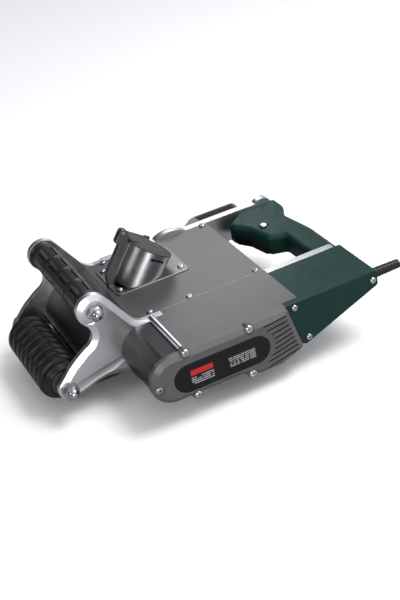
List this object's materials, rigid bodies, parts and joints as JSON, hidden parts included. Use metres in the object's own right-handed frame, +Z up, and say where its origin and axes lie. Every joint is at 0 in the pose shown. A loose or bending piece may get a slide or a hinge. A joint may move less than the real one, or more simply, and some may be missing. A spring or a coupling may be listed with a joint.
{
  "type": "wall chaser",
  "caption": "Hand-held wall chaser: milling drum between two cast side frames, guide roller and cross grip in front, hinged dust spout on top, belt drive at the side, rear D-handle.",
  "frame": {"origin": "bottom centre of the tool's box: halfway across and along it, level with the lowest point of the cutter", "axes": "+X to the belt drive side, -Y forwards to the guide roller, +Y rearwards to the D-handle, +Z up"},
  "size_m": [0.3004, 0.4596, 0.1671],
  "materials": {
    "cast_aluminium": "bright cast, polished bevels",
    "grey_paint": "satin metallic grey paint",
    "cover_paint": "satin metallic grey paint",
    "bright_strip": "brushed",
    "black_paint": "satin black paint",
    "polished_steel": "polished",
    "plate_black": "glossy black label",
    "steel": "machined steel",
    "drum_steel": "oiled steel",
    "carbide": "ground carbide",
    "pulley_aluminium": "machined",
    "belt_rubber": "matte",
    "lamination": "stacked sheet",
    "copper": "copper",
    "carbon": "sintered",
    "brass": "stamped",
    "dark_plastic": "moulded",
    "dark_metal": "smooth dark metal",
    "lid_grey": "moulded, fine grain",
    "grip_rubber": "satin rubber",
    "nylon": "moulded nylon",
    "zinc": "plated",
    "green_plastic": "dark green moulded, fine grain"
  },
  "bodies": {
    "chassis": {"left_frame": "cast_aluminium", "right_frame": "cast_aluminium", "top_plate": "grey_paint", "right_top_panel": "grey_paint", "cutter_guard": "black_paint", "guard_lip": "bright_strip", "chute_wall": "black_paint", "sole_plate": "black_paint", "motor_pan": "black_paint", "gear_casing": "black_paint", "edge_tube": "polished_steel", "side_cover": "cover_paint", "rating_plate": "plate_black", "spindle_bearings": "steel", "layshaft_bearings": "steel", "motor_bearings": "steel", "drive_belt": "belt_rubber", "stator_core": "lamination", "field_coils": "copper", "carbon_brushes": "carbon", "brush_holders": "brass", "motor_cap": "grey_paint", "air_box": "grey_paint", "air_grille": "dark_plastic", "dust_spout": "dark_metal", "lid_pin": "polished_steel", "grip_rod": "steel", "front_grip": "grip_rubber", "roller_axle": "steel", "dome_nuts": "zinc", "handle_upper": "green_plastic", "handle_lower": "green_plastic", "trigger_spring": "zinc", "switch_block": "dark_plastic", "rear_housing_inner": "green_plastic", "rear_housing_outer": "green_plastic", "cable_boot": "grip_rubber", "nut_washers": "zinc", "pan_screws": "zinc", "cover_screws": "zinc"},
    "cutter": {"cutter_spindle": "steel", "spindle_gear": "steel", "cutter_drum": "drum_steel", "cutter_teeth": "carbide", "drum_spacers": "steel", "drum_nut": "steel"},
    "layshaft_group": {"layshaft": "steel", "layshaft_pinion": "steel", "layshaft_pulley": "pulley_aluminium"},
    "armature": {"armature_shaft": "steel", "armature_core": "lamination", "commutator": "copper", "cooling_fan": "dark_plastic", "motor_pulley": "pulley_aluminium"},
    "roller": {"roller_tyre": "grip_rubber", "roller_core": "nylon", "roller_bushes": "nylon"},
    "lid": {"spout_lid": "lid_grey"},
    "trigger_lever": {"trigger": "dark_plastic"},
    "lock": {"lock_button": "polished_steel"}
  },
  "joints": [
    {"name": "cutter_spin", "type": "hinge", "parent": "chassis", "child": "cutter", "pos_m": [-0.03835, -0.10515, 0.044], "axis": [1, 0, 0], "continuous": true},
    {"name": "layshaft_spin", "type": "hinge", "parent": "chassis", "child": "layshaft_group", "pos_m": [0.06165, -0.09747, 0.06301], "axis": [1, 0, 0], "continuous": true},
    {"name": "armature_spin", "type": "hinge", "parent": "chassis", "child": "armature", "pos_m": [-0.03835, 0.02685, 0.0583], "axis": [1, 0, 0], "continuous": true},
    {"name": "roller_spin", "type": "hinge", "parent": "chassis", "child": "roller", "pos_m": [-0.03835, -0.20085, 0.0415], "axis": [1, 0, 0], "continuous": true},
    {"name": "lid_hinge", "type": "hinge", "parent": "chassis", "child": "lid", "pos_m": [-0.05485, -0.06055, 0.16206], "axis": [1, 0, 0], "range_deg": [0, 120]},
    {"name": "trigger_slide", "type": "slide", "parent": "chassis", "child": "trigger_lever", "axis": [0, 1, 0], "range_m": [0, 0.006], "deforming": ["trigger_spring"]},
    {"name": "lock_slide", "type": "slide", "parent": "chassis", "child": "lock", "axis": [0, 0, -1], "range_m": [0, 0.003]}
  ],
  "couplings": [
    {"joint": "layshaft_spin", "follows": "cutter_spin", "ratio": -1.9286},
    {"joint": "armature_spin", "follows": "cutter_spin", "ratio": -3.8571}
  ]
}
